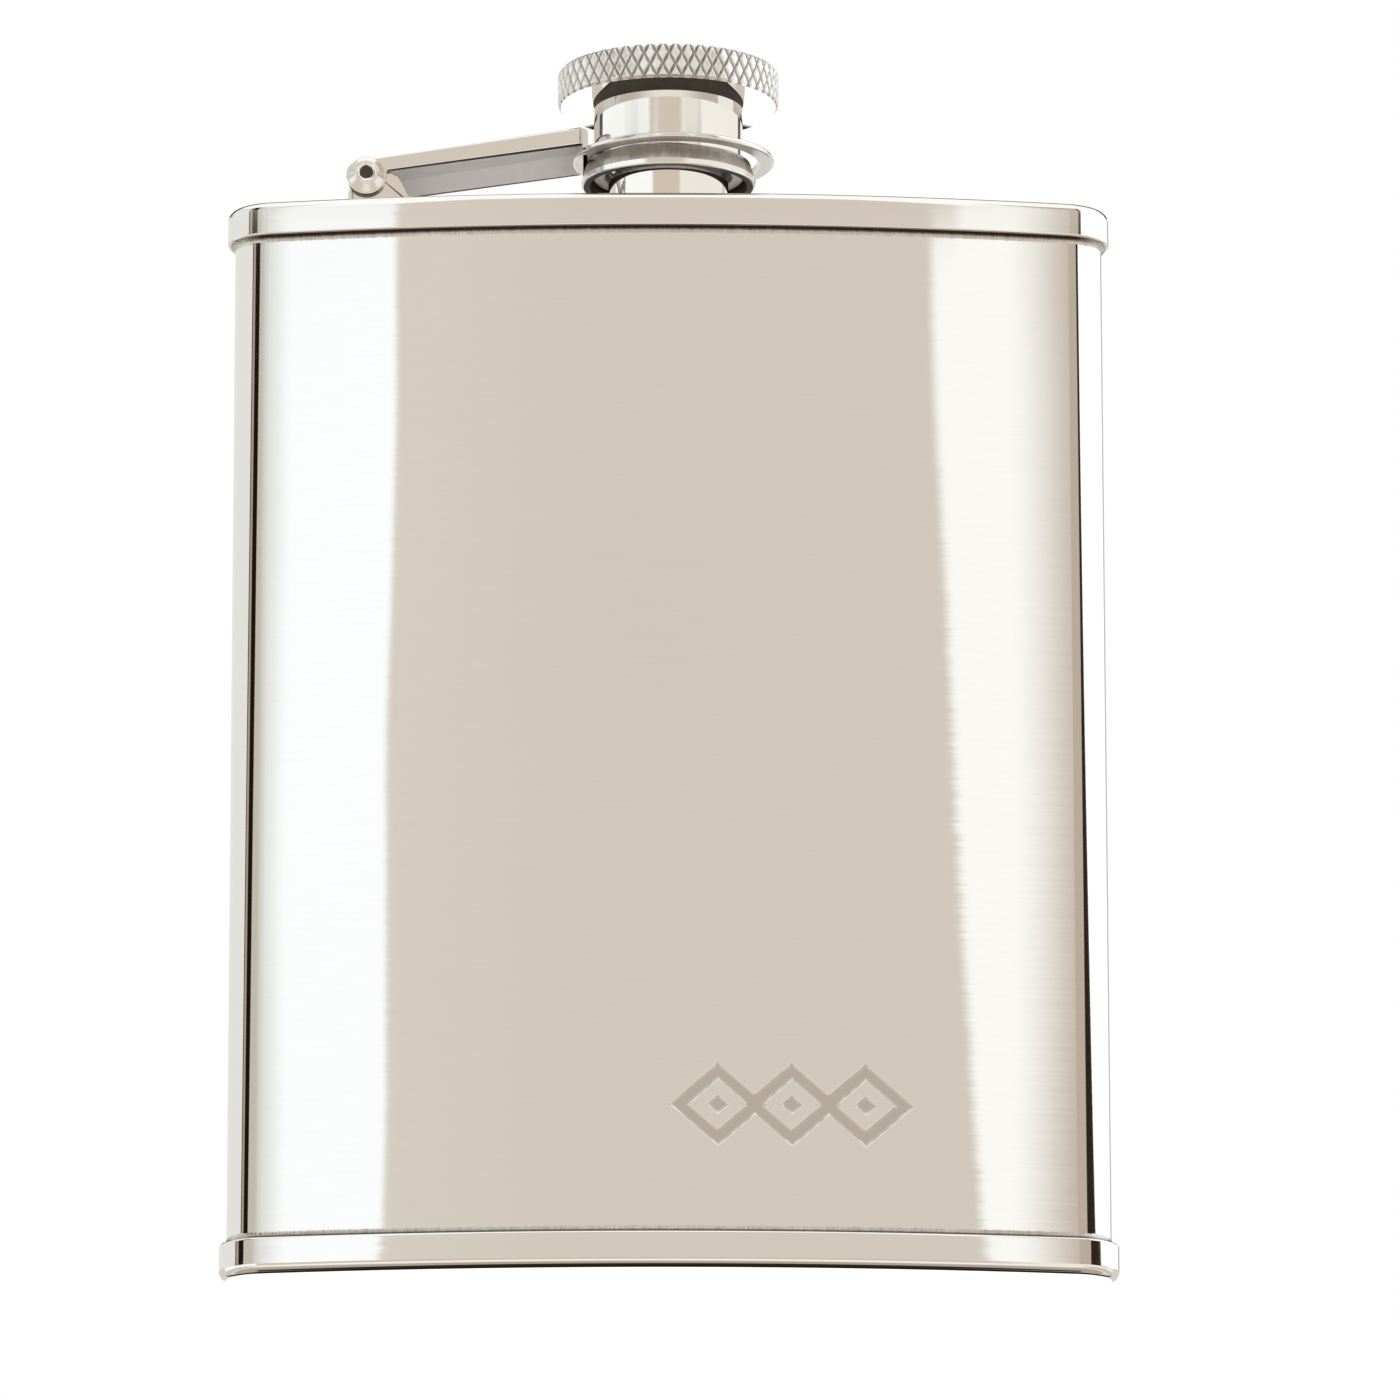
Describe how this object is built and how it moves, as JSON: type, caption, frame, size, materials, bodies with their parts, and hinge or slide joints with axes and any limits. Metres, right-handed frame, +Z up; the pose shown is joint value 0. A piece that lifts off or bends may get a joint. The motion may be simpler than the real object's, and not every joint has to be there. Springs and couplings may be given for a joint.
{
  "type": "hip flask",
  "caption": "Curved stainless steel pocket flask with a knurled screw cap held on a hinged arm above a threaded neck.",
  "frame": {"origin": "middle of the flat base, under the centre of the whole object's box", "axes": "+Z up through the neck, the convex front faces -Y, the cap's hinge is on the -X side"},
  "size_m": [0.0732, 0.0194, 0.1024],
  "materials": {
    "polished_steel": "mirror polished stainless steel with fine wear",
    "satin_steel": "satin turned stainless steel",
    "knurled_steel": "matte diamond-knurled stainless steel",
    "weld": "fine rippled weld bead",
    "seal_rubber": "matte silicone rubber"
  },
  "bodies": {
    "flask": {"body_sleeve": "polished_steel", "side_seam_weld": "weld", "bottom_pan": "polished_steel", "top_pan": "polished_steel", "bottom_seam_weld": "weld", "top_seam_weld": "weld", "neck_spout": "polished_steel", "neck_weld": "weld", "hinge_bracket": "polished_steel", "hinge_pin": "polished_steel"},
    "arm": {"captive_arm": "polished_steel"},
    "cap_carrier": {"cap_seal": "seal_rubber"},
    "cap": {"cap_head": "knurled_steel", "cap_barrel": "polished_steel", "retaining_collar": "satin_steel"}
  },
  "joints": [
    {"name": "arm_swing", "type": "hinge", "parent": "flask", "child": "arm", "pos_m": [-0.0251, -0.00053, 0.0929], "axis": [0, -1, 0], "range_deg": [0, 170]},
    {"name": "cap_lift", "type": "slide", "parent": "arm", "child": "cap_carrier", "axis": [0, 0, 1], "range_m": [-0.00181, 0]},
    {"name": "cap_turn", "type": "hinge", "parent": "cap_carrier", "child": "cap", "pos_m": [0, -0.00053, 0.097], "axis": [0, 0, 1], "range_deg": [-648, 0]}
  ],
  "couplings": [
    {"joint": "cap_lift", "follows": "cap_turn", "m_per_rad": 0.00015915}
  ]
}
